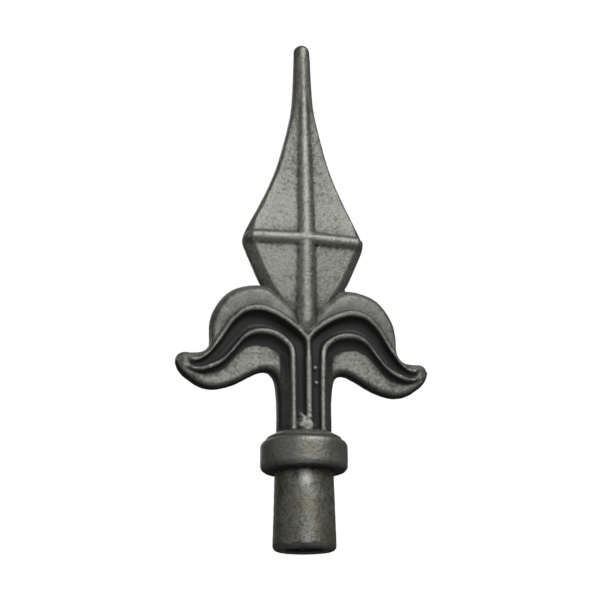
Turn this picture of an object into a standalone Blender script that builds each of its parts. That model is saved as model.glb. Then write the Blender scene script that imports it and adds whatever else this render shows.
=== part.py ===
"""Cast iron spear point finial for the top of a picket.

A turned socket and collar carry a short neck that parts into two drooping side leaves. A lozenge blade with
a raised cross rib stands between them. Everything is one casting, alike on the left and right and on the
front and back. The origin is the centre of the socket's mouth, +Z runs to the tip, the front faces -Y.
"""
import math

import bmesh
import bpy

# Socket and collar
BORE_DIAMETER = 0.0134
BORE_DEPTH = 0.026
SOCKET_WALL = 0.0025
SOCKET_FLARE = 0.0006
SOCKET_LENGTH = 0.0243
MOUTH_ROUND = 0.0015
COLLAR_PROUD = 0.0045
COLLAR_HEIGHT = 0.0104
COLLAR_ROUND = 0.0020
TIER_INSET = 0.0018
TIER_HEIGHT = 0.0016
TIER_SLOPE = 0.0022
TIER_ROUND = 0.0006
SHOULDER_ANGLE = 80

# Neck and leaves
NECK_WIDTH = 0.0170
NECK_DEPTH = 0.0154
NECK_RIDGE_SPACING = 0.0048
NECK_ROOT = 0.0030
LEAF_REACH = 0.0410
LEAF_RISE = 0.0489
LEAF_THICKNESS = 0.0130
TIP_THICKNESS = 0.0080
EDGE_ROUND = 0.0026
RIDGE_WIDTH = 0.0015
COVE_WIDTH = 0.0042

# Blade
BLADE_LENGTH = 0.1052
BLADE_WIDTH = 0.0402
BLADE_CENTRE_THICKNESS = 0.0108
BLADE_EDGE_THICKNESS = 0.0078
BLADE_WALL = 0.0030
LOWER_BEVEL = 0.0028
UPPER_BEVEL = 0.0012
TIP_DIAMETER = 0.0054
CROSS_HEIGHT = 0.0325

# Cross rib
UPRIGHT_RIB_WIDTH = 0.0056
UPRIGHT_RIB_PROUD = 0.0016
LEVEL_RIB_WIDTH = 0.0042
LEVEL_RIB_PROUD = 0.0014
RIB_FOOT_SHARE = 0.45
RIB_SINK_DEPTH = 0.0012
RIB_TIP_SHARE = 0.45
RIB_START_SHARE = 0.0
RIB_SINK_SHARE = 0.72
RIB_END_SHARE = 0.86
RIB_END_BEND = 0.33
RIB_END_SUNK = 0.64

# Fineness of the shapes
TURN_STEPS = 42
ROUND_STEPS = 4
LEAF_STEPS = 2
BLADE_STEPS = 2
RIB_ROUNDNESS = 3
RIB_STEPS = 12
MERGE_DISTANCE = 0.000005

# Finish, as seen on the flat faces
IRON_COLOUR = (0.16, 0.16, 0.145, 1)
IRON_ROUGHNESS = 0.5
IRON_METALLIC = 0.7

COLLAR_FOOT = SOCKET_LENGTH
COLLAR_SHOULDER = COLLAR_FOOT + COLLAR_HEIGHT
COLLAR_TOP = COLLAR_SHOULDER + TIER_HEIGHT
SOCKET_RADIUS = BORE_DIAMETER / 2 + SOCKET_WALL
COLLAR_RADIUS = SOCKET_RADIUS + COLLAR_PROUD
TIER_RADIUS = COLLAR_RADIUS - TIER_INSET

# Sideways places on the neck, as shares of its half width, and heights as shares of the leaf's rise.
# The middle ridge stands on the centre plane, and the outer line runs past it to be cut there.
NECK_PAST_CENTRE = -0.25
NECK_RUNGS = (0.0, 0.11, 0.26)

# Lines of one leaf from the neck to its tip: sideways in shares of the reach, upward in shares of the rise.
LOBE_EDGE = (
    (-0.05, 0.45), (-0.05, 0.60), (-0.03, 0.70), (0.08, 0.81), (0.19, 0.905), (0.32, 0.975),
    (0.47, 0.969), (0.610, 0.914), (0.712, 0.798), (0.746, 0.685), (0.737, 0.575), (0.790, 0.513),
    (0.880, 0.503), (0.943, 0.509), (0.984, 0.489), (1.000, 0.462),
)
OUTER_RIDGE = (
    (0.0, 0.43), (0.0, 0.585), (0.033, 0.645), (0.113, 0.707), (0.226, 0.775), (0.355, 0.815),
    (0.472, 0.802), (0.568, 0.735), (0.634, 0.648), (0.694, 0.563), (0.757, 0.494), (0.818, 0.455),
    (0.872, 0.440), (0.915, 0.448), (0.958, 0.455), (1.004, 0.452),
)
INNER_RIDGE = (
    (0.120, 0.41), (0.131, 0.532), (0.174, 0.597), (0.250, 0.645), (0.338, 0.663), (0.426, 0.652),
    (0.500, 0.608), (0.566, 0.532), (0.640, 0.455), (0.709, 0.410), (0.782, 0.386), (0.825, 0.380),
    (0.867, 0.381), (0.915, 0.395), (0.962, 0.422), (1.005, 0.442),
)
LOWER_EDGE = (
    (0.224, 0.33), (0.256, 0.382), (0.299, 0.399), (0.356, 0.392), (0.429, 0.362), (0.503, 0.326),
    (0.576, 0.296), (0.650, 0.276), (0.723, 0.267), (0.797, 0.275), (0.857, 0.297), (0.902, 0.323),
    (0.943, 0.349), (0.974, 0.378), (0.995, 0.408), (1.003, 0.430),
)

# Half thickness across a leaf, from the lobe's edge over both ridges to the lower edge: the neck's in shares
# of the neck's half depth, the others in shares of half the leaf's or tip's thickness.
NECK_SECTION = (
    0.30, 0.55, 0.70, 0.85, 0.93, 1.00, 0.88, 0.77, 0.76, 0.83, 0.93, 0.82, 0.72, 0.64, 0.52, 0.42, 0.27,
)
LEAF_SECTION = (
    0.20, 0.42, 0.60, 0.70, 0.78, 0.91, 0.60, 0.47, 0.54, 0.66, 0.93, 0.74, 0.60, 0.55, 0.54, 0.43, 0.21,
)
TIP_SECTION = (
    0.32, 0.60, 0.78, 0.86, 0.90, 1.00, 0.86, 0.74, 0.74, 0.84, 1.00, 0.84, 0.74, 0.74, 0.72, 0.58, 0.32,
)
KNOB_SECTION = (
    0.30, 0.50, 0.62, 0.68, 0.72, 0.74, 0.74, 0.75, 0.75, 0.74, 0.74, 0.72, 0.70, 0.66, 0.60, 0.50, 0.30,
)
# Where along the leaf each section rules, in rungs from the root.
SECTION_RUNGS = (0.0, 3.6, 6.0, 12.0, 15.3, 16.4, 18.0)

# Across a leaf, how far the rounded edges, ridge feet and cove may reach into a narrow band of it, as shares
# of that band, and where the bottom of the flute lies between the ridges.
EDGE_START_SHARE = 0.4
EDGE_LIMITS = (0.2, 0.5)
LOWER_EDGE_LIMITS = (0.12, 0.3)
RIDGE_FOOT_LIMIT = 0.18
COVE_LIMIT = 0.45
FLUTE_BOTTOM = (0.35, 0.65)
LEAF_THINNING = 0.5
LAST_SECTION_SHARE = 0.5

# The blade's outline upward from its foot, in shares of the blade's half width and of its length.
BLADE_OUTLINE = (
    (0.05, 0.0), (0.16, 0.030), (0.34, 0.070), (0.54, 0.118), (0.715, 0.172), (0.80, 0.206),
    (0.90, 0.250), (0.975, 0.285), (1.0, 0.307), (0.965, 0.332), (0.86, 0.374), (0.745, 0.418),
    (0.625, 0.467), (0.515, 0.517), (0.410, 0.575), (0.320, 0.640), (0.245, 0.700), (0.185, 0.760),
    (0.160, 0.820), (0.146, 0.880), (0.137, 0.940),
)
BLADE_FOOT_THICKNESS_SHARE = 0.92
UPPER_EDGE_SHARE = 0.5
BEVEL_BLEND_HEIGHT = 0.006
BEVEL_BULGE = 0.45
BEVEL_LIMIT = 0.42
EDGE_LIMIT = 0.9
WALL_LIMIT = 0.62
THINNING_POWER = 0.9


def clear_scene():
    for thing in list(bpy.data.objects):
        bpy.data.objects.remove(thing, do_unlink=True)


def make_collection(name):
    collection = bpy.data.collections.new(name)
    bpy.context.scene.collection.children.link(collection)
    return collection


def blend(low, high, share):
    return low + (high - low) * share


def flow(values, place):
    """Smooth curve through evenly spaced values, read at a place counted in values."""
    last = len(values) - 1
    start = min(int(place), last - 1)
    share = place - start
    before = values[max(start - 1, 0)]
    near = values[start]
    far = values[start + 1]
    after = values[min(start + 2, last)]
    return 0.5 * (
        2 * near
        + (far - before) * share
        + (2 * before - 5 * near + 4 * far - after) * share ** 2
        + (3 * near - before - 3 * far + after) * share ** 3
    )


def flow_point(points, place):
    return tuple(flow([point[axis] for point in points], place) for axis in range(2))


def arc(centre, radius, start, end):
    """Points of an arc in the turning plane, angles in degrees from outward, upward positive."""
    points = []
    for step in range(ROUND_STEPS + 1):
        angle = math.radians(blend(start, end, step / ROUND_STEPS))
        points.append((centre[0] + radius * math.cos(angle), centre[1] + radius * math.sin(angle)))
    return points


def add_object(name, mesh, collection):
    thing = bpy.data.objects.new(name, mesh)
    collection.objects.link(thing)
    return thing


def turned(name, profile, collection):
    """A round body from a profile of radius and height that starts and ends on the axis."""
    mesh = bpy.data.meshes.new(name)
    mesh.from_pydata(
        [(radius, 0, height) for radius, height in profile],
        [(step, step + 1) for step in range(len(profile) - 1)],
        [],
    )
    thing = add_object(name, mesh, collection)
    screw = thing.modifiers.new("turn", "SCREW")
    screw.steps = TURN_STEPS
    screw.render_steps = TURN_STEPS
    screw.use_merge_vertices = True
    screw.merge_threshold = MERGE_DISTANCE
    screw.use_smooth_shade = True
    return thing


def loft(name, rings, collection):
    """A closed body through rings of equal point count, capped at both ends."""
    count = len(rings[0])
    faces = [tuple(reversed(range(count)))]
    for row in range(len(rings) - 1):
        for step in range(count):
            following = (step + 1) % count
            faces.append((
                row * count + step, row * count + following,
                (row + 1) * count + following, (row + 1) * count + step,
            ))
    top = (len(rings) - 1) * count
    faces.append(tuple(range(top, top + count)))
    mesh = bpy.data.meshes.new(name)
    mesh.from_pydata([point for ring in rings for point in ring], [], faces)
    shape = bmesh.new()
    shape.from_mesh(mesh)
    bmesh.ops.recalc_face_normals(shape, faces=shape.faces)
    shape.to_mesh(mesh)
    shape.free()
    return add_object(name, mesh, collection)


def socket_and_collar(collection):
    mouth_radius = SOCKET_RADIUS + SOCKET_FLARE
    round_axis = COLLAR_RADIUS - COLLAR_ROUND
    profile = [(0, COLLAR_TOP)]
    tier_axis = TIER_RADIUS - TIER_SLOPE - TIER_ROUND
    profile += arc((tier_axis, COLLAR_TOP - TIER_ROUND), TIER_ROUND, 90, 45)
    profile.append((TIER_RADIUS, COLLAR_SHOULDER))
    profile += arc((round_axis, COLLAR_SHOULDER - COLLAR_ROUND), COLLAR_ROUND, SHOULDER_ANGLE, 0)
    profile += arc((round_axis, COLLAR_FOOT + COLLAR_ROUND), COLLAR_ROUND, 0, -90)
    profile.append((SOCKET_RADIUS, COLLAR_FOOT))
    profile += arc((mouth_radius - MOUTH_ROUND, MOUTH_ROUND), MOUTH_ROUND, 0, -90)
    profile.append((0, 0))
    return turned("socket_and_collar", profile, collection)


def bore(collection):
    """Cutter for the blind hole that takes the picket, standing out below the mouth."""
    radius = BORE_DIAMETER / 2
    below = -MOUTH_ROUND
    profile = [(0, BORE_DEPTH), (radius, BORE_DEPTH), (radius, below), (0, below)]
    return turned("bore", profile, collection)


def leaf_lines():
    """The four lines of the half neck and leaf: lobe edge, outer ridge, inner ridge and lower edge."""
    root = COLLAR_TOP - NECK_ROOT
    half = NECK_WIDTH / 2
    lines = ([], [], [], [])
    for share in NECK_RUNGS:
        height = root + share * LEAF_RISE
        for line, sideways in zip(lines, (NECK_PAST_CENTRE * half, 0, NECK_RIDGE_SPACING, half)):
            line.append((sideways, height))
    for line, shares in zip(lines, (LOBE_EDGE, OUTER_RIDGE, INNER_RIDGE, LOWER_EDGE)):
        line += [(across * LEAF_REACH, COLLAR_TOP + up * LEAF_RISE) for across, up in shares]
    return lines


def leaf_section(place):
    """Half thicknesses across the leaf at a place along it, blended between the ruling sections."""
    sections = (
        [share * NECK_DEPTH / 2 for share in NECK_SECTION],
        [share * NECK_DEPTH / 2 for share in NECK_SECTION],
        [share * LEAF_THICKNESS / 2 for share in LEAF_SECTION],
        [share * blend(LEAF_THICKNESS, TIP_THICKNESS, LEAF_THINNING) / 2 for share in LEAF_SECTION],
        [share * TIP_THICKNESS / 2 for share in TIP_SECTION],
        [share * TIP_THICKNESS / 2 for share in KNOB_SECTION],
        [share * TIP_THICKNESS * LAST_SECTION_SHARE / 2 for share in KNOB_SECTION],
    )
    for index in range(len(SECTION_RUNGS) - 1):
        low = SECTION_RUNGS[index]
        high = SECTION_RUNGS[index + 1]
        if place <= high:
            share = (place - low) / (high - low)
            ease = share * share * (3 - 2 * share)
            return [blend(a, b, ease) for a, b in zip(sections[index], sections[index + 1])]
    return sections[-1]


def spots(start, end, distances):
    """Points on a straight line at the given distances from its start."""
    length = math.dist(start, end)
    shares = [distance / length for distance in distances]
    return [(blend(start[0], end[0], share), blend(start[1], end[1], share)) for share in shares]


def leaf_ring(edge, outer, inner, lower, heights):
    """One section of the leaf: over the front from the lobe's edge to the lower edge, and back behind."""
    lobe = math.dist(edge, outer)
    flute = math.dist(outer, inner)
    plateau = math.dist(inner, lower)
    foot = RIDGE_WIDTH / 2
    edge_start = EDGE_ROUND * EDGE_START_SHARE
    lobe_round = min(EDGE_ROUND, EDGE_LIMITS[1] * lobe)
    lobe_foot = lobe - min(foot, RIDGE_FOOT_LIMIT * lobe)
    line = spots(edge, outer, (
        0, min(edge_start, EDGE_LIMITS[0] * lobe), lobe_round, (lobe_round + lobe_foot) / 2, lobe_foot, lobe,
    ))
    flute_foot = min(foot, RIDGE_FOOT_LIMIT * flute)
    line += spots(outer, inner, (
        flute_foot, FLUTE_BOTTOM[0] * flute, FLUTE_BOTTOM[1] * flute, flute - flute_foot, flute,
    ))
    slope = min(foot, RIDGE_FOOT_LIMIT * plateau)
    cove = min(COVE_WIDTH, COVE_LIMIT * plateau)
    line += spots(inner, lower, (
        slope, (slope + cove) / 2, cove, plateau - min(EDGE_ROUND, LOWER_EDGE_LIMITS[1] * plateau),
        plateau - min(edge_start, LOWER_EDGE_LIMITS[0] * plateau), plateau,
    ))
    front = [(across, -height, up) for (across, up), height in zip(line, heights)]
    back = [(across, height, up) for (across, up), height in zip(line, heights)]
    return front + back[::-1]


def leaves(collection):
    lines = leaf_lines()
    rings = []
    for step in range((len(lines[0]) - 1) * LEAF_STEPS + 1):
        place = step / LEAF_STEPS
        rings.append(leaf_ring(*[flow_point(line, place) for line in lines], leaf_section(place)))
    thing = loft("neck_and_leaves", rings, collection)
    mirror = thing.modifiers.new("other_leaf", "MIRROR")
    mirror.use_axis = (True, False, False)
    mirror.use_bisect_axis = (True, False, False)
    mirror.bisect_threshold = MERGE_DISTANCE
    mirror.merge_threshold = MERGE_DISTANCE
    return thing


def blade_foot():
    """Height at which the blade's lower point comes out of the fork between the leaves."""
    return COLLAR_TOP + OUTER_RIDGE[2][1] * LEAF_RISE


def blade_shape(place):
    """Half width and height at a place along the blade's outline."""
    across, up = flow_point(BLADE_OUTLINE, place)
    return across * BLADE_WIDTH / 2, blade_foot() + up * BLADE_LENGTH


def blade_thickness(height):
    """Half thickness of the blade on its centre line: full at the cross, least at the neck of the tip."""
    cross = blade_foot() + CROSS_HEIGHT
    top = blade_foot() + BLADE_LENGTH
    full = BLADE_CENTRE_THICKNESS / 2
    if height < cross:
        return full * blend(BLADE_FOOT_THICKNESS_SHARE, 1.0, (height - blade_foot()) / CROSS_HEIGHT)
    return blend(full, TIP_DIAMETER / 2, ((height - cross) / (top - cross)) ** THINNING_POWER)


def blade_ring(half, height):
    """One level section of the blade: flat facets, a bevel and a narrow wall along each edge."""
    centre = blade_thickness(height)
    over_cross = max(0.0, height - blade_foot() - CROSS_HEIGHT)
    change = min(1.0, over_cross / BEVEL_BLEND_HEIGHT)
    width_share = half / (BLADE_WIDTH / 2)
    bevel = min(blend(LOWER_BEVEL, UPPER_BEVEL * width_share, change), BEVEL_LIMIT * half)
    thinning = over_cross / (BLADE_LENGTH - CROSS_HEIGHT)
    edge = min(BLADE_EDGE_THICKNESS / 2 * (1 - UPPER_EDGE_SHARE * thinning ** 0.5), EDGE_LIMIT * centre)
    wall = min(BLADE_WALL / 2, WALL_LIMIT * edge)
    bulge = (half - bevel / 2, blend(edge, wall, BEVEL_BULGE))
    quarter = [(0, centre), (half - bevel, edge), bulge, (half, wall)]
    front_right = [(across, -deep) for across, deep in quarter]
    back_right = [(across, deep) for across, deep in quarter[::-1]]
    back_left = [(-across, deep) for across, deep in quarter[1:]]
    front_left = [(-across, -deep) for across, deep in quarter[:0:-1]]
    return [(across, deep, height) for across, deep in front_right + back_right + back_left + front_left]


def tip_rings(count):
    """The rounded end of the blade, as shrinking rings over half a ball."""
    radius = TIP_DIAMETER / 2
    top = blade_foot() + BLADE_LENGTH
    rings = []
    for step in range(ROUND_STEPS):
        angle = math.radians(90 * step / ROUND_STEPS)
        ring = []
        for corner in range(count):
            turn = 2 * math.pi * corner / count - math.pi / 2
            ring.append((
                radius * math.cos(angle) * math.cos(turn),
                radius * math.cos(angle) * math.sin(turn),
                top - radius + radius * math.sin(angle),
            ))
        rings.append(ring)
    return rings


def blade(collection):
    rings = []
    for step in range((len(BLADE_OUTLINE) - 1) * BLADE_STEPS + 1):
        rings.append(blade_ring(*blade_shape(step / BLADE_STEPS)))
    rings += tip_rings(len(rings[0]))
    return loft("blade", rings, collection)


def rib(name, path, width, proud, side, collection):
    """A half-round rib on the front (side -1) or back (side 1) of the blade.

    The path's points give sideways place, half thickness under the rib, height and share of full size.
    """
    radius = (width ** 2 / 4 + proud ** 2) / (2 * proud)
    curve = bpy.data.curves.new(name, "CURVE")
    curve.dimensions = "3D"
    curve.bevel_depth = radius
    curve.bevel_resolution = RIB_ROUNDNESS
    curve.use_fill_caps = True
    spline = curve.splines.new("POLY")
    spline.points.add(len(path) - 1)
    for point, (across, half_thickness, height, share) in zip(spline.points, path):
        point.co = (across, side * (half_thickness + (proud - radius) * share), height, 1)
        point.radius = share
    source = add_object(name + "_curve", curve, collection)
    bpy.context.view_layer.update()
    mesh = bpy.data.meshes.new_from_object(source.evaluated_get(bpy.context.evaluated_depsgraph_get()))
    shape = bmesh.new()
    shape.from_mesh(mesh)
    bmesh.ops.remove_doubles(shape, verts=shape.verts, dist=MERGE_DISTANCE)
    bmesh.ops.recalc_face_normals(shape, faces=shape.faces)
    shape.to_mesh(mesh)
    shape.free()
    solid = add_object(name, mesh, collection)
    solid.matrix_world = source.matrix_world
    bpy.data.objects.remove(source, do_unlink=True)
    return solid


def upright_rib_path():
    """From the fork between the leaves, where the rib starts small, up the blade to sink into its tip."""
    path = []
    for step in range(RIB_STEPS + 1):
        share = step / RIB_STEPS
        along = blend(RIB_START_SHARE, RIB_END_SHARE, share)
        height = blade_foot() + along * BLADE_LENGTH
        size = blend(1.0, RIB_TIP_SHARE, share)
        sunk = RIB_SINK_DEPTH * max(0.0, (along - RIB_SINK_SHARE) / (RIB_END_SHARE - RIB_SINK_SHARE))
        if step == 0:
            size = RIB_FOOT_SHARE
        path.append((0, blade_thickness(height) - sunk, height, size))
    return path


def level_rib_path():
    """Across the blade at the cross, following the facets and sinking into the bevels at its ends."""
    height = blade_foot() + CROSS_HEIGHT
    edge = BLADE_EDGE_THICKNESS / 2
    wall = BLADE_WALL / 2
    facet = BLADE_WIDTH / 2 - LOWER_BEVEL
    right = [
        (0, BLADE_CENTRE_THICKNESS / 2, height, 1.0),
        (facet, edge, height, 0.95),
        (facet + LOWER_BEVEL * RIB_END_BEND, blend(edge, wall, RIB_END_BEND), height, 0.8),
        (facet + LOWER_BEVEL * RIB_END_SUNK, wall, height, 0.5),
    ]
    left = [(-point[0],) + point[1:] for point in right[:0:-1]]
    return left + right


def join(body, other, operation):
    change = body.modifiers.new(other.name, "BOOLEAN")
    change.operation = operation
    change.solver = "EXACT"
    change.object = other


def cast_iron():
    material = bpy.data.materials.new("cast_iron")
    material.use_nodes = True
    shader = material.node_tree.nodes["Principled BSDF"]
    shader.inputs["Base Color"].default_value = IRON_COLOUR
    shader.inputs["Roughness"].default_value = IRON_ROUGHNESS
    shader.inputs["Metallic"].default_value = IRON_METALLIC
    return material


def main():
    clear_scene()
    part = make_collection("spear_point_finial")
    cutters = make_collection("cutters")
    body = socket_and_collar(part)
    body.name = "finial_casting"
    joined = [leaves(cutters), blade(cutters)]
    upright = upright_rib_path()
    level = level_rib_path()
    for side in (-1, 1):
        joined.append(rib("upright_rib", upright, UPRIGHT_RIB_WIDTH, UPRIGHT_RIB_PROUD, side, cutters))
        joined.append(rib("level_rib", level, LEVEL_RIB_WIDTH, LEVEL_RIB_PROUD, side, cutters))
    for other in joined:
        join(body, other, "UNION")
    hole = bore(cutters)
    join(body, hole, "DIFFERENCE")
    for tool in joined + [hole]:
        tool.hide_render = True
        tool.display_type = "WIRE"
    body.data.materials.append(cast_iron())


main()
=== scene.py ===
import math

import bmesh
import bpy
import numpy
from mathutils import Matrix, Vector, kdtree, noise


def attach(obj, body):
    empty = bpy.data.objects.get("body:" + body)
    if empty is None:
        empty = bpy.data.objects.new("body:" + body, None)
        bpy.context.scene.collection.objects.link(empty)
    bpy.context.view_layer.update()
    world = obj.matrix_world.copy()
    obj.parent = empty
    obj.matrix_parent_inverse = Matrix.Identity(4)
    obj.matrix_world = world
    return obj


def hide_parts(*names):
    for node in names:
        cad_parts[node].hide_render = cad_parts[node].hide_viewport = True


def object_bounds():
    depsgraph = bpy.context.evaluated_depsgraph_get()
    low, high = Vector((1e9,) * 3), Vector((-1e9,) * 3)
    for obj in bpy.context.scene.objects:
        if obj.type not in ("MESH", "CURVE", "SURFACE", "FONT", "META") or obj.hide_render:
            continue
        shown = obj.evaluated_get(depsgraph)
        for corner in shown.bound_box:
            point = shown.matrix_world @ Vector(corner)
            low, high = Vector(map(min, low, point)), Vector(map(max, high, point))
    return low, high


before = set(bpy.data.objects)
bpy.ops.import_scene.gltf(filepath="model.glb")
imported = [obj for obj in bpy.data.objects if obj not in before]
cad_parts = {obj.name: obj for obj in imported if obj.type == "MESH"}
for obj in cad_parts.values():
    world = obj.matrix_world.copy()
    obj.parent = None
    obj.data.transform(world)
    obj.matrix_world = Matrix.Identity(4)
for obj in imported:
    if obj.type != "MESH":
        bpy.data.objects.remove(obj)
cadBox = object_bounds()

# Sizes are in metres. The socket's mouth is at the origin, the tip points up, the front faces -Y.

# ---- turned foot: socket stub and collar ring

socket = {
    "bore": 0.0134,
    "boreDepth": 0.026,
    "wall": 0.0025,
    "flare": 0.0006,
    "length": 0.0243,
    "lipRound": 0.0016,
    "boreLipRound": 0.0006,
    "turns": 132,
}
collar = {
    "proud": 0.0045,
    "height": 0.0104,
    "cornerRound": 0.0020,
    "tierInset": 0.0018,
    "tierHeight": 0.0016,
    "tierSlope": 0.0022,
    "tierRound": 0.0006,
    "stepDrop": 0.0007,
    "shoulderAngle": 80,
}
socketRadius = socket["bore"] / 2 + socket["wall"]
collarRadius = socketRadius + collar["proud"]
collarShoulder = socket["length"] + collar["height"]
collarTop = collarShoulder + collar["tierHeight"]


def mix(low, high, share):
    return low + (high - low) * share


def cornerPoints(radius, height, size, start, end, steps=8):
    points = []
    for step in range(steps + 1):
        angle = math.radians(mix(start, end, step / steps))
        points.append((radius + size * math.cos(angle), height + size * math.sin(angle)))
    return points


def turnFoot(form):
    mouthRadius = socketRadius + socket["flare"]
    tierRadius = collarRadius - collar["tierInset"]
    roundAxis = collarRadius - collar["cornerRound"]
    boreRadius = socket["bore"] / 2
    lip = socket["lipRound"]
    innerLip = socket["boreLipRound"]
    profile = [(0, collarTop)]
    profile += cornerPoints(tierRadius - collar["tierSlope"] - collar["tierRound"], collarTop - collar["tierRound"],
                            collar["tierRound"], 90, 45)
    shoulder = collarShoulder - collar["stepDrop"]
    profile += cornerPoints(tierRadius - collar["tierRound"], collarShoulder - collar["tierRound"] / 3,
                            collar["tierRound"], 45, 0)
    profile.append((tierRadius, shoulder))
    profile += cornerPoints(roundAxis, shoulder - collar["cornerRound"], collar["cornerRound"],
                            collar["shoulderAngle"], 0)
    profile += cornerPoints(roundAxis, socket["length"] + collar["cornerRound"], collar["cornerRound"], 0, -90)
    profile.append((socketRadius, socket["length"]))
    profile += cornerPoints(mouthRadius - lip, lip, lip, 0, -90)
    profile += cornerPoints(boreRadius + innerLip, innerLip, innerLip, -90, -180)
    profile += [(boreRadius, socket["boreDepth"]), (0, socket["boreDepth"])]
    points = [form.verts.new((radius, 0, height)) for radius, height in profile]
    edges = [form.edges.new(pair) for pair in zip(points, points[1:])]
    bmesh.ops.spin(form, geom=points + edges, cent=(0, 0, 0), axis=(0, 0, 1), angle=2 * math.pi,
                   steps=socket["turns"], use_merge=True)


# ---- shared ways of working

def flowValue(values, place):
    # smooth curve through evenly spaced values
    last = len(values) - 1
    start = min(int(place), last - 1)
    share = place - start
    before, near = values[max(start - 1, 0)], values[start]
    far, after = values[start + 1], values[min(start + 2, last)]
    return 0.5 * (2 * near + (far - before) * share + (2 * before - 5 * near + 4 * far - after) * share ** 2
                  + (3 * near - before - 3 * far + after) * share ** 3)


def flowPoint(points, place):
    return Vector([flowValue([point[axis] for point in points], place) for axis in range(2)])


def softHeights(distances, heights, wanted):
    # curve through the heights that stays level at crests and never overshoots
    steps = numpy.diff(distances)
    slopes = numpy.diff(heights) / steps
    tangents = numpy.zeros(len(heights))
    for index in range(1, len(heights) - 1):
        left, right = slopes[index - 1], slopes[index]
        if left * right > 0:
            tangents[index] = 2 * left * right / (left + right)
    tangents[0], tangents[-1] = slopes[0], slopes[-1]
    places = numpy.clip(numpy.searchsorted(distances, wanted, side="right") - 1, 0, len(steps) - 1)
    reach = steps[places]
    share = (wanted - distances[places]) / reach
    square, cube = share ** 2, share ** 3
    return (heights[places] * (2 * cube - 3 * square + 1) + heights[places + 1] * (3 * square - 2 * cube)
            + reach * (tangents[places] * (cube - 2 * square + share) + tangents[places + 1] * (cube - square)))


def bridgeRings(form, rings):
    # skin through closed rings of points, with both ends filled
    previous = None
    for number, ring in enumerate(rings):
        points = [form.verts.new(point) for point in ring]
        edges = [form.edges.new(pair) for pair in zip(points, points[1:] + points[:1])]
        if previous:
            bmesh.ops.bridge_loops(form, edges=previous + edges)
        if number in (0, len(rings) - 1):
            bmesh.ops.contextual_create(form, geom=edges)
        previous = edges


# ---- neck and drooping side leaves

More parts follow.
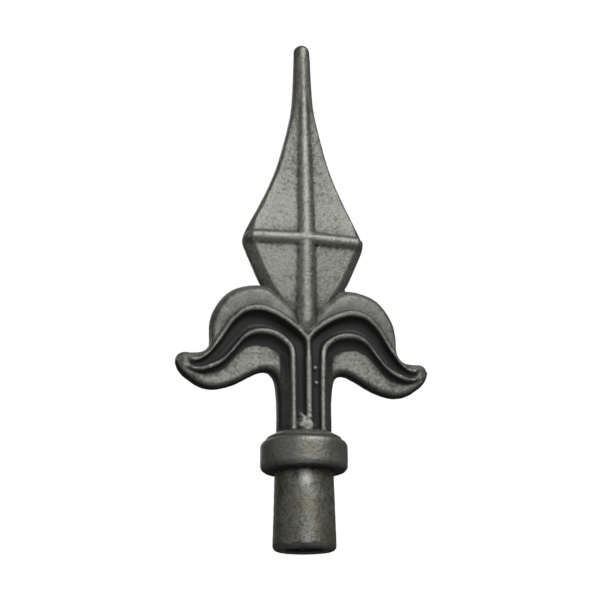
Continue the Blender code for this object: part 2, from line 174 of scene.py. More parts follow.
leaf = {
    "reach": 0.0410,
    "rise": 0.0489,
    "thickness": 0.0130,
    "tipThickness": 0.0080,
    "neckWidth": 0.0170,
    "neckDepth": 0.0154,
    "neckRidgeSpacing": 0.0048,
    "neckRoot": 0.0030,
    "lobeRound": 0.0027,
    "ridgeWidth": 0.0028,
    "lowerEdgeRound": 0.0014,
    "coveWidth": 0.0049,
    "pastCentre": -0.25,
    "neckRungs": (0.0, 0.11, 0.26),
    # lines from the neck to the tip, in shares of the reach and of the rise
    "lobeEdge": ((-0.05, 0.45), (-0.05, 0.60), (-0.03, 0.70), (0.08, 0.81), (0.19, 0.905), (0.32, 0.975),
                 (0.47, 0.969), (0.610, 0.914), (0.712, 0.798), (0.746, 0.685), (0.737, 0.575), (0.790, 0.513),
                 (0.880, 0.498), (0.943, 0.499), (0.984, 0.484), (1.000, 0.458)),
    "outerRidge": ((0.0, 0.43), (0.0, 0.585), (0.033, 0.642), (0.113, 0.701), (0.226, 0.763), (0.355, 0.799),
                   (0.472, 0.786), (0.568, 0.722), (0.634, 0.640), (0.694, 0.563), (0.757, 0.494),
                   (0.818, 0.455), (0.872, 0.440), (0.915, 0.448), (0.958, 0.455), (1.004, 0.452)),
    "innerRidge": ((0.120, 0.41), (0.131, 0.532), (0.174, 0.590), (0.250, 0.633), (0.338, 0.648),
                   (0.426, 0.637), (0.500, 0.595), (0.566, 0.522), (0.640, 0.450), (0.709, 0.410),
                   (0.782, 0.386), (0.825, 0.380), (0.867, 0.381), (0.915, 0.395), (0.962, 0.422), (1.005, 0.442)),
    "lowerEdge": ((0.224, 0.33), (0.256, 0.382), (0.299, 0.399), (0.356, 0.392), (0.429, 0.362), (0.503, 0.326),
                  (0.576, 0.296), (0.650, 0.276), (0.723, 0.267), (0.797, 0.275), (0.857, 0.297), (0.902, 0.323),
                  (0.943, 0.349), (0.974, 0.378), (0.995, 0.408), (1.003, 0.430)),
    # half thickness from the lobe's edge over both ridges to the lower edge, in shares of the piece's own
    "neckSection": (0.30, 0.55, 0.70, 0.85, 0.93, 1.00, 0.88, 0.77, 0.76, 0.83, 0.93, 0.82, 0.72, 0.64, 0.52,
                    0.42, 0.27),
    "leafSection": (0.20, 0.50, 0.69, 0.72, 0.73, 0.91, 0.60, 0.47, 0.54, 0.66, 0.93, 0.74, 0.60, 0.55, 0.54,
                    0.43, 0.21),
    "tipSection": (0.32, 0.60, 0.78, 0.86, 0.90, 1.00, 0.86, 0.74, 0.74, 0.84, 1.00, 0.84, 0.74, 0.74, 0.72,
                   0.58, 0.32),
    "knobSection": (0.30, 0.50, 0.62, 0.68, 0.72, 0.74, 0.74, 0.75, 0.75, 0.74, 0.74, 0.72, 0.70, 0.66, 0.60,
                    0.50, 0.30),
    "sectionRungs": (0.0, 3.1, 5.5, 12.0, 15.3, 16.4, 18.0),
    "thinning": 0.5,
    "lastShare": 0.5,
    "stepsAlong": 10,
    "stepsAcross": 18,
    # rounded crest tops, the groove under the inner ridge, and the faint line along the flute
    "crestHalf": 0.00095,
    "crestFall": 0.035,
    "crestShare": 0.8,
    "footShare": 0.2,
    "grooveDip": 0.06,
    "panelEdge": 0.0005,
    "lineAcross": 0.68,
    "lineHalf": 0.0008,
    "lineProud": 0.00035,
    "lineBare": 0.4,
    "lineRungs": (4.5, 6.5, 11.0, 13.5),
    # painted shade with dark residue in the flutes; painted shade along the ridge foot, in the cove, under the lower
    # edge, over the lobe and on the arch's crests
    "panelStart": 0.0088,
    "coveShadeOnNeck": 0.65,
    "shadeOnLobe": 0.43,
    "shadeOnArch": 0.4,
    "archEnds": (11.0, 13.0),
    "coveShadeWidth": 0.0050,
    "coveShadeShare": 0.43,
    "shadeUnderEdge": 0.0010,
    "shadeAndSootFade": 0.0005,
    # rungs over which the outer ridge turns from bright to dull, and what is left of its shine
    "dullRungs": (7.0, 9.0),
    "dullShine": 0.3,
    "archRungs": (2.5, 4.5),
    "archShine": 0.25,
}
skinMarks = []


def leafLines():
    root = collarTop - leaf["neckRoot"]
    half = leaf["neckWidth"] / 2
    lines = ([], [], [], [])
    for share in leaf["neckRungs"]:
        across = (leaf["pastCentre"] * half, 0, leaf["neckRidgeSpacing"], half)
        for line, sideways in zip(lines, across):
            line.append((sideways, root + share * leaf["rise"]))
    for line, name in zip(lines, ("lobeEdge", "outerRidge", "innerRidge", "lowerEdge")):
        line += [(across * leaf["reach"], collarTop + up * leaf["rise"]) for across, up in leaf[name]]
    return lines


def leafHeights(place):
    neck = leaf["neckDepth"] / 2
    body = leaf["thickness"] / 2
    tip = leaf["tipThickness"] / 2
    scaled = ((leaf["neckSection"], neck), (leaf["neckSection"], neck), (leaf["leafSection"], body),
              (leaf["leafSection"], mix(body, tip, leaf["thinning"])), (leaf["tipSection"], tip),
              (leaf["knobSection"], tip), (leaf["knobSection"], tip * leaf["lastShare"]))
    sections = [numpy.array(shares) * size for shares, size in scaled]
    rungs = leaf["sectionRungs"]
    index = min(sum(place > rung for rung in rungs[1:]), len(rungs) - 2)
    share = (place - rungs[index]) / (rungs[index + 1] - rungs[index])
    return mix(sections[index], sections[index + 1], share * share * (3 - 2 * share))


def fade(value, low, high):
    share = min(1, max(0, (value - low) / (high - low)))
    return share * share * (3 - 2 * share)


def leafStations(place, lobe, flute, plateau):
    # distances from the lobe's edge over both ridges to the lower edge, with the half thickness at each
    foot = leaf["ridgeWidth"] / 2
    lobeRound = min(leaf["lobeRound"], 0.5 * lobe)
    lobeFoot = lobe - min(foot, leaf["footShare"] * lobe)
    fluteFoot = min(foot, leaf["footShare"] * flute)
    slope = min(foot, leaf["footShare"] * plateau)
    cove = min(leaf["coveWidth"], 0.45 * plateau)
    at = [0, min(0.4 * leaf["lobeRound"], 0.2 * lobe), lobeRound, (lobeRound + lobeFoot) / 2, lobeFoot, lobe]
    at += [lobe + step for step in (fluteFoot, 0.35 * flute, 0.65 * flute, flute - fluteFoot, flute)]
    at += [lobe + flute + step for step in (
        slope, (slope + cove) / 2, cove, plateau - min(leaf["lowerEdgeRound"], 0.3 * plateau),
        plateau - min(0.4 * leaf["lowerEdgeRound"], 0.12 * plateau), plateau)]
    high = list(leafHeights(place))
    grooveDip = leaf["grooveDip"] * high[12] * fade(place, 4, 6.5) * (1 - fade(place, 12.5, 15))
    high[12] -= grooveDip
    stations = list(zip(at, high))
    for crest in (5, 10):
        for side in (-1, 1):
            half = min(leaf["crestHalf"], leaf["crestShare"] * abs(at[crest + side] - at[crest]))
            drop = leaf["crestFall"] * (high[crest] - high[crest + side])
            stations.append((at[crest] + side * half, high[crest] - drop))
    edge = min(leaf["panelEdge"], 0.2 * cove)
    stations.append((at[13] - edge, high[12] + 0.15 * (high[13] - high[12])))
    stations.sort()
    return numpy.array(stations).T


def shadeAndSootShare(place, sideways, walk, lobe, flute, plateau):
    # 1 where shade and dark residue are painted, 0 where none is painted
    soft = leaf["shadeAndSootFade"]
    end = 1 - fade(place, 15.2, 16.6)
    # painted shade with dark residue in the flute
    inFlute = fade(walk, lobe + 0.3 * soft, lobe + 1.6 * soft) * (1 - fade(walk, lobe + flute - 2.2 * soft, lobe + flute - soft))
    cove = min(leaf["coveShadeWidth"], leaf["coveShadeShare"] * plateau)
    past = walk - lobe - flute
    byPanel = max(1 - fade(past, cove - soft, cove + 0.6 * soft),
                  1 - fade(sideways, leaf["panelStart"] - 0.6 * soft, leaf["panelStart"] + 0.4 * soft))
    # painted shade in the cove below the inner ridge
    inCove = fade(past, soft, 2.2 * soft) * byPanel * mix(leaf["coveShadeOnNeck"], 1, fade(place, 2.5, 5))
    # painted shade under the lower edge
    under = 0.8 * fade(past, plateau - leaf["shadeUnderEdge"], plateau - 0.3 * leaf["shadeUnderEdge"])
    # painted shade that dims the lobe
    onLobe = leaf["shadeOnLobe"] * fade(walk, -0.6 * lobe, 0.2 * lobe) * (walk < lobe - 0.6 * leaf["crestHalf"])
    onCrests = (walk > lobe - 0.6 * leaf["crestHalf"]) * (past < 1.2 * leaf["crestHalf"])
    # painted shade that dims the crests over the arch
    onArch = leaf["shadeOnArch"] * fade(place, *leaf["archRungs"]) * (1 - fade(place, *leaf["archEnds"])) * onCrests
    return max(inFlute * end, inCove * end, under, onLobe * end, onArch)


def leafRing(lines, place):
    corners = [flowPoint(line, place) for line in lines]
    lobe, flute, plateau = [(end - start).length for start, end in zip(corners, corners[1:])]
    line, wanted = [], []
    start = 0
    across = leaf["stepsAcross"]
    for band, length in enumerate((lobe, flute, plateau)):
        for step in range(across + (band == 2)):
            line.append(corners[band].lerp(corners[band + 1], step / across))
            wanted.append(start + length * step / across)
        start += length
    wanted = numpy.array(wanted)
    heights = softHeights(*leafStations(place, lobe, flute, plateau), wanted)
    # the faint line cast along the flute
    rungs = leaf["lineRungs"]
    strength = leaf["lineProud"] * fade(place, rungs[0], rungs[1]) * (1 - fade(place, rungs[2], rungs[3]))
    middle = lobe + leaf["lineAcross"] * flute
    onLine = strength / leaf["lineProud"] * numpy.clip(1 - ((wanted - middle) / leaf["lineHalf"]) ** 2, 0, 1)
    heights = heights + leaf["lineProud"] * onLine
    for point, height, walk, lightened in zip(line, heights, wanted, leaf["lineBare"] * onLine):
        shadeAndSoot = shadeAndSootShare(place, point.x, walk, lobe, flute, plateau) * (1 - lightened)
        shine = mix(1, leaf["archShine"], fade(place, *leaf["archRungs"]))
        if walk < lobe + leaf["ridgeWidth"] / 2:
            shine = mix(shine, leaf["dullShine"], fade(place, *leaf["dullRungs"]))
        if point.x > -1e-6:
            skinMarks.append((point.x, height, point.y, shadeAndSoot, shine))
    front = [(point.x, -height, point.y) for point, height in zip(line, heights)]
    back = [(point.x, height, point.y) for point, height in zip(line, heights)]
    return front + back[::-1]


def growLeaves(form):
    lines = leafLines()
    half = bmesh.new()
    last = len(lines[0]) - 1
    steps = last * leaf["stepsAlong"]
    bridgeRings(half, [leafRing(lines, last * step / steps) for step in range(steps + 1)])
    bmesh.ops.recalc_face_normals(half, faces=half.faces)
    everything = half.verts[:] + half.edges[:] + half.faces[:]
    bmesh.ops.bisect_plane(half, geom=everything, dist=1e-7, plane_co=(0, 0, 0), plane_no=(1, 0, 0),
                           clear_inner=True)
    everything = half.verts[:] + half.edges[:] + half.faces[:]
    bmesh.ops.mirror(half, geom=everything, axis="X", merge_dist=1e-5)
    addTo(form, half)


def addTo(form, piece):
    # moves one finished shell into the whole casting
    mesh = bpy.data.meshes.new("shell")
    piece.to_mesh(mesh)
    piece.free()
    form.from_mesh(mesh)
    bpy.data.meshes.remove(mesh)


# ---- spear blade

blade = {
    "length": 0.1052,
    "width": 0.0402,
    "centreThickness": 0.0108,
    "edgeThickness": 0.0078,
    "wall": 0.0030,
    "lowerBevel": 0.0028,
    "upperBevel": 0.0012,
    "tipDiameter": 0.0054,
    "crossHeight": 0.0325,
    # outline upward from the fork, in shares of the half width and of the length
    "outline": ((0.05, 0.0), (0.16, 0.030), (0.34, 0.070), (0.54, 0.118), (0.715, 0.172), (0.80, 0.206),
                (0.90, 0.250), (0.975, 0.285), (1.0, 0.307), (0.965, 0.332), (0.86, 0.374), (0.745, 0.418),
                (0.625, 0.467), (0.515, 0.517), (0.410, 0.575), (0.320, 0.640), (0.245, 0.700), (0.185, 0.760),
                (0.160, 0.820), (0.146, 0.880), (0.137, 0.940)),
    "footThickness": 0.92,
    "upperEdge": 0.5,
    "bevelBlend": 0.006,
    "bevelBulge": 0.45,
    "bevelLimit": 0.42,
    "edgeLimit": 0.9,
    "wallLimit": 0.62,
    "thinning": 0.9,
    "stepsAlong": 6,
    "facetSteps": 8,
    "bevelSteps": 5,
    # shares of the length between which the facets turn into a plainer tip, and how round it gets
    "tipRounds": (0.70, 0.86),
    "tipRoundness": 0.42,
}
bladeFoot = collarTop + leaf["outerRidge"][2][1] * leaf["rise"]
crossHeight = bladeFoot + blade["crossHeight"]
bladeTop = bladeFoot + blade["length"]


def bladeHalfThickness(height):
    full = blade["centreThickness"] / 2
    if height < crossHeight:
        return full * mix(blade["footThickness"], 1, (height - bladeFoot) / blade["crossHeight"])
    return mix(full, blade["tipDiameter"] / 2, ((height - crossHeight) / (bladeTop - crossHeight)) ** blade["thinning"])


def bladeRing(place):
    across, up = flowPoint(blade["outline"], place)
    half = across * blade["width"] / 2
    height = bladeFoot + up * blade["length"]
    centre = bladeHalfThickness(height)
    overCross = max(0.0, height - crossHeight)
    change = min(1.0, overCross / blade["bevelBlend"])
    upper = blade["upperBevel"] * half / (blade["width"] / 2)
    bevel = min(mix(blade["lowerBevel"], upper, change), blade["bevelLimit"] * half)
    thinning = overCross / (blade["length"] - blade["crossHeight"])
    edge = min(blade["edgeThickness"] / 2 * (1 - blade["upperEdge"] * thinning ** 0.5), blade["edgeLimit"] * centre)
    wall = min(blade["wall"] / 2, blade["wallLimit"] * edge)
    quarter = [(mix(0, half - bevel, step / blade["facetSteps"]), mix(centre, edge, step / blade["facetSteps"]))
               for step in range(blade["facetSteps"] + 1)]
    # the bevel bulges a little between the facet and the wall
    corner = (half - bevel / 2, mix(edge, wall, blade["bevelBulge"]))
    for step in range(1, blade["bevelSteps"] + 1):
        share = step / blade["bevelSteps"]
        if share < 0.5:
            quarter.append((mix(half - bevel, corner[0], 2 * share), mix(edge, corner[1], 2 * share)))
        else:
            quarter.append((mix(corner[0], half, 2 * share - 1), mix(corner[1], wall, 2 * share - 1)))
    share = blade["tipRoundness"] * fade(up, *blade["tipRounds"])
    turns = [math.radians(88 * number / (len(quarter) - 1)) for number in range(len(quarter))]
    quarter = [(mix(x, half * math.sin(turn), share), mix(deep, centre * math.cos(turn), share))
               for (x, deep), turn in zip(quarter, turns)]
    ring = [(x, -deep) for x, deep in quarter] + [(x, deep) for x, deep in quarter[::-1]]
    ring += [(-x, deep) for x, deep in quarter[1:]] + [(-x, -deep) for x, deep in quarter[:0:-1]]
    return [(x, y, height) for x, y in ring]


def bladeTipRings(count):
    radius = blade["tipDiameter"] / 2
    rings = []
    for step in range(8):
        angle = math.radians(90 * step / 8)
        ring = []
        for corner in range(count):
            turn = 2 * math.pi * corner / count - math.pi / 2
            ring.append((radius * math.cos(angle) * math.cos(turn), radius * math.cos(angle) * math.sin(turn),
                         bladeTop - radius + radius * math.sin(angle)))
        rings.append(ring)
    return rings


def growBlade(form):
    shell = bmesh.new()
    last = len(blade["outline"]) - 1
    steps = last * blade["stepsAlong"]
    rings = [bladeRing(last * step / steps) for step in range(steps + 1)]
    bridgeRings(shell, rings + bladeTipRings(len(rings[0])))
    bmesh.ops.recalc_face_normals(shell, faces=shell.faces)
    addTo(form, shell)


# ---- cross rib on both faces of the blade

rib = {
    "uprightWidth": 0.0058,
    "uprightProud": 0.0013,
    "levelWidth": 0.0043,
    "levelProud": 0.0013,
    "footShare": 0.45,
    "tipShare": 0.45,
    "endShare": 0.86,
    "taper": 1.75,
    "sinkCurve": 3.2,
    "sinkDepth": 0.0008,
    "endBend": 0.33,
    "endSunk": 0.64,
    "steps": 40,
    "roundness": 40,
}


def ribShell(form, path, width, proud, side):
    radius = (width ** 2 / 4 + proud ** 2) / (2 * proud)
    centres = [Vector((x, side * (deep + (proud - radius) * share), height)) for x, deep, height, share in path]
    shell = bmesh.new()
    previous = None
    for number, (centre, point) in enumerate(zip(centres, path)):
        ahead = centres[min(number + 1, len(centres) - 1)] - centres[max(number - 1, 0)]
        turn = ahead.to_track_quat("Z", "Y").to_matrix().to_4x4()
        made = bmesh.ops.create_circle(shell, segments=rib["roundness"], radius=radius * point[3],
                                       matrix=Matrix.Translation(centre) @ turn)
        edges = list({edge for vert in made["verts"] for edge in vert.link_edges})
        if previous:
            bmesh.ops.bridge_loops(shell, edges=previous + edges)
        if number in (0, len(path) - 1):
            bmesh.ops.contextual_create(shell, geom=edges)
        previous = edges
    bmesh.ops.recalc_face_normals(shell, faces=shell.faces)
    addTo(form, shell)


def growRibs(form):
    upright = []
    for step in range(rib["steps"] + 1):
        share = step / rib["steps"]
        height = bladeFoot + share * rib["endShare"] * blade["length"]
        size = rib["footShare"] if step == 0 else mix(1, rib["tipShare"], share ** rib["taper"])
        sunk = rib["sinkDepth"] * share ** rib["sinkCurve"]
        upright.append((0, bladeHalfThickness(height) - sunk, height, size))
    edge, wall = blade["edgeThickness"] / 2, blade["wall"] / 2
    facet = blade["width"] / 2 - blade["lowerBevel"]
    right = [(facet * step / 8, mix(blade["centreThickness"] / 2, edge, step / 8), crossHeight, 1)
             for step in range(9)]
    right.append((facet + blade["lowerBevel"] * rib["endBend"], mix(edge, wall, rib["endBend"]), crossHeight, 0.8))
    right.append((facet + blade["lowerBevel"] * rib["endSunk"], wall, crossHeight, 0.5))
    level = [(-point[0],) + point[1:] for point in right[:0:-1]] + right
    for side in (-1, 1):
        ribShell(form, upright, rib["uprightWidth"], rib["uprightProud"], side)
        ribShell(form, level, rib["levelWidth"], rib["levelProud"], side)


# ---- the casting as poured: shells melted into one skin

skin = {
    "grid": 0.00036,
    "softenRounds": 2,
    "softenShare": 0.5,
    "lumpyAmount": 0.00005,
    "lumpySize": 0.0035,
    "grainAmount": 0.00004,
    "grainSize": 0.0011,
    "crestReach": 18,
    "hollowReach": 90,
    "mostFaces": 192000,
    # a broken plate of iron left in one flute: sideways place, height, reach and distance of its face
    "plates": ((-0.0022, 0.0377, 0.0016, 0.0078), (-0.0010, 0.0375, 0.0018, 0.0080), (0.0003, 0.0378, 0.0016, 0.0081),
               (-0.0014, 0.0396, 0.0017, 0.0077), (-0.0024, 0.0411, 0.0009, 0.0074), (0.0002, 0.0404, 0.0012, 0.0079),
               (0.0004, 0.0421, 0.0008, 0.0079), (0.0004, 0.0433, 0.0006, 0.0079)),
    "plateDrop": 0.0022,
    "plateSoften": 4,
    # small pimples and one pit: sideways place, height, reach and how far each stands out
    "pimples": ((0.0023, 0.0564, 0.0009, 0.0011), (0.0026, 0.0516, 0.0009, 0.0011), (0.0037, 0.0979, 0.0007, -0.0004)),
    "roughSize": 0.0010,
    # a painted highlight on the stub's top: middle, reach
    "paintedGlint": ((-0.0018, -0.0090, 0.0212), 0.0034),
    # painted shade over the collar's shoulder corner
    "tierShade": 0.58,
    # the line where the two halves of the mould met
    "seamHalf": 0.0005,
    "seamProud": 0.00016,
    # painted shade in the joint over the collar and round the mouth, and a painted shadow under the collar, with ragged
    # edges
    "jointRadius": 0.0125,
    "jointHeight": 0.0343,
    "jointReach": 0.0008,
    "mouthShade": 0.0019,
    "underCollarShadow": (0.0237, 0.0251),
    "raggedSize": 0.0016,
    "raggedReach": 0.0007,
}


def meltShells(form):
    mesh = bpy.data.meshes.new("shells")
    form.to_mesh(mesh)
    form.free()
    holder = bpy.data.objects.new("shells", mesh)
    bpy.context.scene.collection.objects.link(holder)
    melt = holder.modifiers.new("melt", "REMESH")
    melt.mode = "VOXEL"
    melt.voxel_size = skin["grid"]
    bpy.context.view_layer.update()
    melted = bpy.data.meshes.new_from_object(holder.evaluated_get(bpy.context.evaluated_depsgraph_get()))
    bpy.data.objects.remove(holder, do_unlink=True)
    bpy.data.meshes.remove(mesh)
    return melted


def softenedPlaces(places, pairs, rounds, share=0.5):
    # each point drifts towards the middle of its neighbours
    counts = numpy.bincount(pairs.ravel(), minlength=len(places))[:, None]
    for _ in range(rounds):
        total = numpy.zeros_like(places)
        for axis in range(3):
            total[:, axis] = (numpy.bincount(pairs[:, 0], places[pairs[:, 1], axis], len(places))
                              + numpy.bincount(pairs[:, 1], places[pairs[:, 0], axis], len(places)))
        places = places + (total / counts - places) * share
    return places


def readPlaces(mesh):
    places = numpy.empty(len(mesh.vertices) * 3)
    mesh.vertices.foreach_get("co", places)
    return places.reshape(-1, 3)


def readNormals(mesh):
    normals = numpy.empty(len(mesh.vertices) * 3)
    mesh.vertex_normals.foreach_get("vector", normals)
    return normals.reshape(-1, 3)


def readMarks(places):
    # painted shade with dark residue, and the shine, of each point, from the nearest mark on the leaves
    tree = kdtree.KDTree(len(skinMarks) * 4)
    for number, (x, deep, height, shadeAndSoot, shine) in enumerate(skinMarks):
        for corner, (side, face) in enumerate(((1, -1), (1, 1), (-1, -1), (-1, 1))):
            tree.insert((side * x, face * deep, height), number * 4 + corner)
    tree.balance()
    read = numpy.zeros((len(places), 3))
    for number, place in enumerate(places):
        found, index, distance = tree.find(place)
        near = max(0, 1 - max(0, distance - 0.0009) / 0.0006)
        shadeAndSoot, shine = skinMarks[index // 4][3:]
        read[number] = (shadeAndSoot * near, mix(1, shine, near), 0)
    return read


def roughness(places, size):
    return numpy.array([noise.noise(Vector(place) / size) for place in places])


def castSkin(mesh):
    pairs = numpy.empty(len(mesh.edges) * 2, dtype=numpy.int64)
    mesh.edges.foreach_get("vertices", pairs)
    pairs = pairs.reshape(-1, 2)
    places = softenedPlaces(readPlaces(mesh), pairs, skin["softenRounds"], skin["softenShare"])
    mesh.vertices.foreach_set("co", places.ravel())
    mesh.update()
    normals = readNormals(mesh)
    # how far each point stands above or below its surroundings
    near = softenedPlaces(places, pairs, skin["crestReach"])
    wide = softenedPlaces(near, pairs, skin["hollowReach"])
    crest = ((places - near) * normals).sum(1)
    relief = ((places - wide) * normals).sum(1)
    shadeAndSoot, shine = softenedPlaces(readMarks(places), pairs, 2)[:, :2].T
    shadeAndSoot, crest = shadeAndSoot.copy(), numpy.where(crest > 0, crest * shine, crest)
    push = (skin["lumpyAmount"] * roughness(places, skin["lumpySize"])
            + skin["grainAmount"] * roughness(places, skin["grainSize"]))
    radius = numpy.hypot(places[:, 0], places[:, 1])
    height = places[:, 2].copy()
    # painted shade in the joint between the tier and the collar
    joint = numpy.hypot(radius - skin["jointRadius"], height - skin["jointHeight"]) / skin["jointReach"]
    shadeAndSoot = numpy.maximum(shadeAndSoot, numpy.clip(1.5 * (1 - joint), 0, 1))
    # painted shade round the mouth and a painted shadow under the collar, both with ragged edges
    foot = height < collarShoulder
    ragged = skin["raggedReach"] * roughness(places[foot], skin["raggedSize"])
    low, high = skin["underCollarShadow"]
    dark = numpy.maximum(numpy.clip((skin["mouthShade"] + ragged - height[foot]) / 0.0004, 0, 1),
                         numpy.clip((high + 0.5 * ragged - height[foot]) / 0.0004, 0, 1)
                         * numpy.clip((height[foot] - low - ragged) / 0.0004, 0, 1))
    shadeAndSoot[foot] = numpy.maximum(shadeAndSoot[foot], dark)
    # painted shade that dulls the highlight on the collar's shoulder corner
    tier = (numpy.clip((height - collarShoulder + 0.0022) / 0.0010, 0, 1)
            * numpy.clip((collarShoulder + 0.0008 - height) / 0.0006, 0, 1))
    shadeAndSoot = numpy.maximum(shadeAndSoot, skin["tierShade"] * tier)
    sideways = (numpy.abs(normals[:, 1]) < 0.5) & (height > collarTop)
    push += skin["seamProud"] * numpy.clip(1 - numpy.abs(places[:, 1]) / skin["seamHalf"], 0, 1) * sideways
    facing = (normals[:, 1] < 0.1) & (places[:, 1] < 0)
    plated = numpy.zeros(len(places))
    for x, middle, reach, face in skin["plates"]:
        away = numpy.hypot(places[:, 0] - x, height - middle) / reach
        inside = (away < 1.5) & facing
        rough = roughness(places[inside], skin["roughSize"])
        sunk = numpy.clip((away[inside] + 0.35 * rough - 0.75) / 0.4, 0, 1)
        raised = numpy.maximum(0, places[inside, 1] + face + 0.0002 * rough - skin["plateDrop"] * sunk)
        places[inside, 1] -= raised
        plated[inside] = numpy.maximum(plated[inside], numpy.clip(raised / 0.0003, 0, 1))
    softer = softenedPlaces(numpy.column_stack((places[:, 1], plated, plated)), pairs, skin["plateSoften"])
    near = numpy.clip(3 * softer[:, 1], 0, 1)
    places[:, 1] = mix(places[:, 1], softer[:, 0], near)
    shadeAndSoot *= 1 - near * numpy.clip(1.5 * plated, 0, 1)
    relief = numpy.maximum(relief, mix(relief, 0.0002, plated))
    crest = mix(crest, 0.00008, plated)
    lightened = numpy.zeros(len(places))
    for x, middle, reach, proud in skin["pimples"]:
        away = numpy.hypot(places[:, 0] - x, height - middle) / reach
        inside = (away < 1) & facing
        swell = (1 - away[inside] ** 2) ** 1.5
        places[inside, 1] -= proud * swell
        # the pimples are painted pale, the pit is painted dark
        if proud > 0:
            shadeAndSoot[inside] *= 1 - swell
            lightened[inside] = 0.8 * swell
        else:
            shadeAndSoot[inside] = numpy.maximum(shadeAndSoot[inside], swell)
    # a painted highlight on the stub's top, under the collar
    middle, reach = skin["paintedGlint"]
    apart = (places - numpy.array(middle)) / (reach, reach, 1.3 * reach)
    paintedGlint = numpy.clip(1 - numpy.linalg.norm(apart, axis=1), 0, 1)
    lightened = numpy.maximum(lightened, 0.9 * paintedGlint * (1 - shadeAndSoot))
    places = places + normals * push[:, None]
    mesh.vertices.foreach_set("co", places.ravel())
    for name, values in (("crest", crest * 1000), ("relief", relief * 1000), ("shadeAndSoot", shadeAndSoot), ("lightened", lightened)):
        layer = mesh.attributes.new(name, "FLOAT", "POINT")
        layer.data.foreach_set("value", values.astype(numpy.float32))
    mesh.update()
    print("crest mm", numpy.percentile(crest * 1000, (1, 10, 50, 90, 99)).round(3),
          "relief mm", numpy.percentile(relief * 1000, (1, 10, 50, 90, 99)).round(3))


def thinFaces(casting):
    # fewer faces where the skin is flat, the same shape
    casting.data.calc_loop_triangles()
    triangles = len(casting.data.loop_triangles)
    if triangles > skin["mostFaces"]:
        thin = casting.modifiers.new("thin", "DECIMATE")
        thin.ratio = skin["mostFaces"] / triangles
        bpy.context.view_layer.update()
        mesh = bpy.data.meshes.new_from_object(casting.evaluated_get(bpy.context.evaluated_depsgraph_get()))
        casting.modifiers.clear()
        casting.data = mesh
    low, high = [numpy.array(corner, dtype=numpy.float32) for corner in cadBox]
    inside = numpy.clip(readPlaces(casting.data), low, high)
    casting.data.vertices.foreach_set("co", inside.ravel())
    casting.data.update()
    casting.data.polygons.foreach_set("use_smooth", [True] * len(casting.data.polygons))
    print("casting:", triangles, "triangles, kept", len(casting.data.polygons))


def pourCasting():
    form = bmesh.new()
    turnFoot(form)
    growLeaves(form)
    growBlade(form)
    growRibs(form)
    bmesh.ops.remove_doubles(form, verts=form.verts, dist=1e-7)
    print("shells:", len(form.faces), "faces")
    mesh = meltShells(form)
    castSkin(mesh)
    mesh.name = "spearPointCasting"
    casting = bpy.data.objects.new("spearPointCasting", mesh)
    bpy.context.scene.collection.objects.link(casting)
    thinFaces(casting)
    return casting


# ---- finish

iron = {
    # colours for painted shade with dark residue, for painted shade in hollows and dark speckles, and for the plain
    # iron
    "shadeAndSootSkin": (0.019, 0.020, 0.020, 1),
    "hollowShadeAndSpeckleSkin": (0.075, 0.075, 0.068, 1),
    "bareSkin": (0.185, 0.185, 0.168, 1),
    "wornCrest": (0.19, 0.19, 0.175, 1),
    "tipSkin": (0.10, 0.096, 0.08, 1),
    # heights between which the blade's tip turns dull
    "tipDulls": (0.132, 0.156),
    "metallic": 0.85,
    "shadeAndSootMetallic": 0.5,
    "paleSpotAndGlintSkin": (0.40, 0.405, 0.405, 1),
    # weathered brown patches on the collar and stub
    "rustSkin": (0.125, 0.115, 0.062, 1),
    "rustShare": 0.45,
    "shadeAndSootRoughness": 0.75,
    # heights of the paler bands: the collar, and over the cross
    "paleCollar": (0.024, 0.027, 0.033, 0.035),
    "paleBlade": (0.075, 0.085, 0.108, 0.128),
}


class Signal:
    def __init__(self, tree, socket):
        self.tree = tree
        self.socket = socket

    def add(self, kind, settings=None, inputs=None, output=0):
        made = self.tree.nodes.new(kind)
        for name, value in (settings or {}).items():
            setattr(made, name, value)
        for name, value in (inputs or {}).items():
            if isinstance(value, Signal):
                self.tree.links.new(value.socket, made.inputs[name])
            else:
                made.inputs[name].default_value = value
        return Signal(self.tree, made.outputs[output])

    def maths(self, operation, first, second):
        return self.add("ShaderNodeMath", {"operation": operation}, {0: first, 1: second})

    def __add__(self, other):
        return self.maths("ADD", self, other)

    __radd__ = __add__

    def __sub__(self, other):
        return self.maths("SUBTRACT", self, other)

    def __rsub__(self, other):
        return self.maths("SUBTRACT", other, self)

    def __mul__(self, other):
        return self.maths("MULTIPLY", self, other)

    __rmul__ = __mul__

    def ramp(self, low, high, start=0.0, end=1.0):
        return self.add("ShaderNodeMapRange", {"interpolation_type": "SMOOTHSTEP"},
                        {"Value": self, "From Min": low, "From Max": high, "To Min": start, "To Max": end})

    def tint(self, share, other):
        return self.add("ShaderNodeMix", {"data_type": "RGBA"}, {"Factor": share, 6: self, 7: other}, 2)


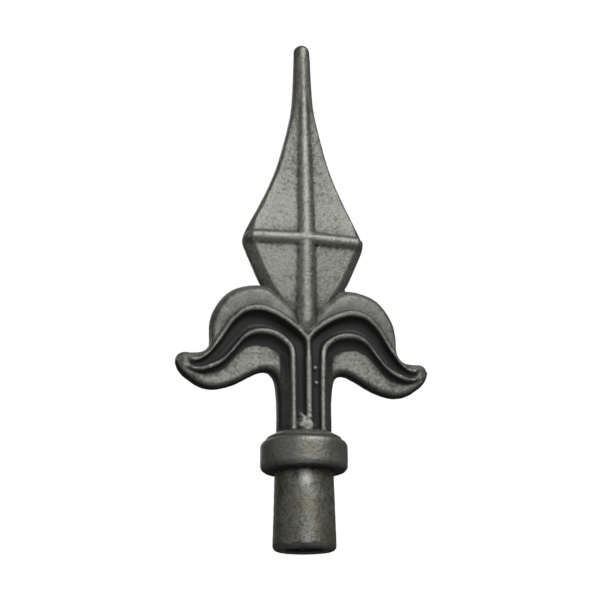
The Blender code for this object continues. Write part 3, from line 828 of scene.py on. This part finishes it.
def castIron():
    material = bpy.data.materials.new("castIron")
    material.use_nodes = True
    tree = material.node_tree
    shader = tree.nodes["Principled BSDF"]
    start = Signal(tree, None)
    place = start.add("ShaderNodeTexCoord", output="Object")
    crest = start.add("ShaderNodeAttribute", {"attribute_name": "crest"}, output="Fac")
    relief = start.add("ShaderNodeAttribute", {"attribute_name": "relief"}, output="Fac")
    grain = start.add("ShaderNodeTexNoise", {}, {"Vector": place, "Scale": 900, "Detail": 3, "Roughness": 0.6})
    sand = start.add("ShaderNodeTexNoise", {}, {"Vector": place, "Scale": 2400, "Detail": 2, "Roughness": 0.6})
    patches = start.add("ShaderNodeTexNoise", {}, {"Vector": place, "Scale": 260, "Detail": 3, "Roughness": 0.6})
    shadeAndSoot = start.add("ShaderNodeAttribute", {"attribute_name": "shadeAndSoot"}, output="Fac")
    height = start.add("ShaderNodeSeparateXYZ", {}, {"Vector": place}, output="Z")
    rises, full, falls, ends = iron["paleCollar"]
    pale = height.ramp(rises, full) * height.ramp(falls, ends, 1, 0) * 2
    rises, full, falls, ends = iron["paleBlade"]
    pale = height.ramp(rises, full) * height.ramp(falls, ends, 1, 0) + pale
    # painted shade: places lower than their surroundings are painted darker, mixed with the grain, the patches and the
    # paler bands
    shade = relief.ramp(-0.6, 0.1) + (grain - 0.5) * 2.6 + (patches - 0.5) * 2.0 + pale * 0.25
    dull = start.add("ShaderNodeRGB")
    dull.socket.default_value = iron["hollowShadeAndSpeckleSkin"]
    colour = dull.tint(shade.ramp(0.1, 1.3), iron["bareSkin"])
    colour = colour.tint(height.ramp(*iron["tipDulls"]) * 0.6, iron["tipSkin"])
    blotches = start.add("ShaderNodeTexNoise", {}, {"Vector": place, "Scale": 150, "Detail": 2, "Roughness": 0.5})
    rust = blotches.ramp(0.42, 0.62) * height.ramp(0.034, 0.038, 1, 0)
    colour = colour.tint(rust * iron["rustShare"], iron["rustSkin"])
    colour = colour.tint(grain.ramp(0.34, 0.54, 0.28, 0), iron["hollowShadeAndSpeckleSkin"])
    # painted shade in creases
    colour = colour.tint(crest.ramp(-0.16, -0.07, 1, 0) * 0.15, iron["shadeAndSootSkin"])
    # painted shade with dark residue, with ragged edges from the grain
    shadeAndSootMix = (shadeAndSoot + (grain - 0.5) * 0.5).ramp(0.25, 0.85)
    colour = colour.tint(shadeAndSootMix, iron["shadeAndSootSkin"])
    worn = crest.ramp(0.03, 0.22)
    colour = colour.tint(worn * patches.ramp(0.3, 0.6, 0.5, 0.9), iron["wornCrest"])
    # pale pimples and a painted highlight on the stub's top
    lightened = start.add("ShaderNodeAttribute", {"attribute_name": "lightened"}, output="Fac")
    colour = colour.tint((lightened + (grain - 0.5) * 0.5).ramp(0.08, 0.85), iron["paleSpotAndGlintSkin"])
    roughness = 0.6 - 0.12 * relief.ramp(-0.6, 0.3) - 0.06 * worn + (grain - 0.5) * 0.2
    roughness = roughness + shadeAndSootMix * (iron["shadeAndSootRoughness"] - roughness)
    metallic = shadeAndSootMix * (iron["shadeAndSootMetallic"] - iron["metallic"]) + iron["metallic"]
    bump = start.add("ShaderNodeBump", {}, {"Height": grain * 0.7 + sand * 0.3, "Distance": 0.00022, "Strength": 0.9})
    for name, value in (("Base Color", colour), ("Roughness", roughness), ("Metallic", metallic), ("Normal", bump)):
        tree.links.new(value.socket, shader.inputs[name])
    return material


# ---- studio

studio = {
    "turn": 13.612,
    "tilt": 17.779,
    "roll": -0.307,
    "distance": 0.415454,
    "focal": 1281.037,
    "imageWidth": 600,
    "aim": (-0.000999, 0, 0.080603),
    "floorLevel": -0.16,
    "floorHalf": 5.5,
    "floorColour": (0.4, 0.4, 0.4, 1),
    "floorGlow": 0.6,
    "backdropReach": 5.0,
    "backdropLight": 1.0,
    "ambient": 0.12,
    # azimuth and elevation as seen from the finial, distance, side length, watts
    "lights": {
        "keyFront": (0, 15, 0.9, 0.7, 3.0),
        "keyHigh": (18, 45, 0.9, 0.6, 7.2),
        "fillLeft": (-70, 15, 0.9, 0.6, 0.6),
        "fillRight": (90, 17, 0.9, 0.6, 0.12),
        "behind": (180, 30, 0.9, 0.8, 2.5),
        "bounce": (-10, -50, 0.9, 0.8, 0.9),
    },
}


def away(azimuth, elevation):
    side, up = math.radians(azimuth), math.radians(elevation)
    return Vector((math.sin(side) * math.cos(up), -math.cos(side) * math.cos(up), math.sin(up)))


def setCamera():
    back = away(-studio["turn"], -studio["tilt"])
    right = (-back).cross(Vector((0, 0, 1))).normalized()
    up = right.cross(-back)
    roll = math.radians(studio["roll"])
    turned = (right * math.cos(roll) + up * math.sin(roll), up * math.cos(roll) - right * math.sin(roll), back)
    place = Matrix(turned).transposed().to_4x4()
    place.translation = Vector(studio["aim"]) + back * studio["distance"]
    camera = bpy.data.objects.new("camera", bpy.data.cameras.new("camera"))
    camera.data.sensor_width = 36
    camera.data.lens = 36 * studio["focal"] / studio["imageWidth"]
    camera.data.clip_start = 0.01
    camera.matrix_world = place
    bpy.context.scene.collection.objects.link(camera)
    bpy.context.scene.camera = camera


def setFloor():
    form = bmesh.new()
    bmesh.ops.create_grid(form, x_segments=1, y_segments=1, size=studio["floorHalf"])
    bmesh.ops.translate(form, verts=form.verts, vec=(0, 0, studio["floorLevel"]))
    mesh = bpy.data.meshes.new("floor")
    form.to_mesh(mesh)
    form.free()
    floor = bpy.data.objects.new("floor", mesh)
    bpy.context.scene.collection.objects.link(floor)
    material = bpy.data.materials.new("paleFloor")
    material.use_nodes = True
    shader = material.node_tree.nodes["Principled BSDF"]
    shader.inputs["Base Color"].default_value = studio["floorColour"]
    shader.inputs["Roughness"].default_value = 0.9
    shader.inputs["Emission Color"].default_value = (1, 1, 1, 1)
    shader.inputs["Emission Strength"].default_value = studio["floorGlow"]
    mesh.materials.append(material)
    floor.visible_glossy = False
    floor.visible_diffuse = False
    floor.visible_shadow = False


def setLights():
    middle = (Vector(cadBox[0]) + Vector(cadBox[1])) / 2
    for name, (azimuth, elevation, distance, size, watts) in studio["lights"].items():
        light = bpy.data.lights.new(name, "AREA")
        light.energy = watts
        light.size = size
        lamp = bpy.data.objects.new(name, light)
        direction = away(azimuth, elevation)
        lamp.location = middle + direction * distance
        lamp.rotation_mode = "QUATERNION"
        lamp.rotation_quaternion = direction.to_track_quat("Z", "Y")
        bpy.context.scene.collection.objects.link(lamp)
    world = bpy.data.worlds.new("studio")
    bpy.context.scene.world = world
    world.use_nodes = True
    background = world.node_tree.nodes["Background"]
    background.inputs["Color"].default_value = (1, 1, 1, 1)
    background.inputs["Strength"].default_value = studio["ambient"]
    bpy.context.scene.view_settings.view_transform = "Standard"


def setBackdrop():
    # a white dome that only the camera sees
    form = bmesh.new()
    bmesh.ops.create_icosphere(form, subdivisions=4, radius=studio["backdropReach"])
    mesh = bpy.data.meshes.new("backdrop")
    form.to_mesh(mesh)
    form.free()
    backdrop = bpy.data.objects.new("backdrop", mesh)
    bpy.context.scene.collection.objects.link(backdrop)
    material = bpy.data.materials.new("whiteBackdrop")
    material.use_nodes = True
    shader = material.node_tree.nodes["Principled BSDF"]
    shader.inputs["Base Color"].default_value = (0, 0, 0, 1)
    shader.inputs["Specular IOR Level"].default_value = 0
    shader.inputs["Emission Color"].default_value = (1, 1, 1, 1)
    shader.inputs["Emission Strength"].default_value = studio["backdropLight"]
    mesh.materials.append(material)
    backdrop.visible_diffuse = False
    backdrop.visible_glossy = False
    backdrop.visible_transmission = False
    backdrop.visible_shadow = False


casting = pourCasting()
casting.data.materials.append(castIron())
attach(casting, "root")
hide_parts("finial_casting")
print("casting placed")
setCamera()
setFloor()
setLights()
setBackdrop()
print("studio ready")
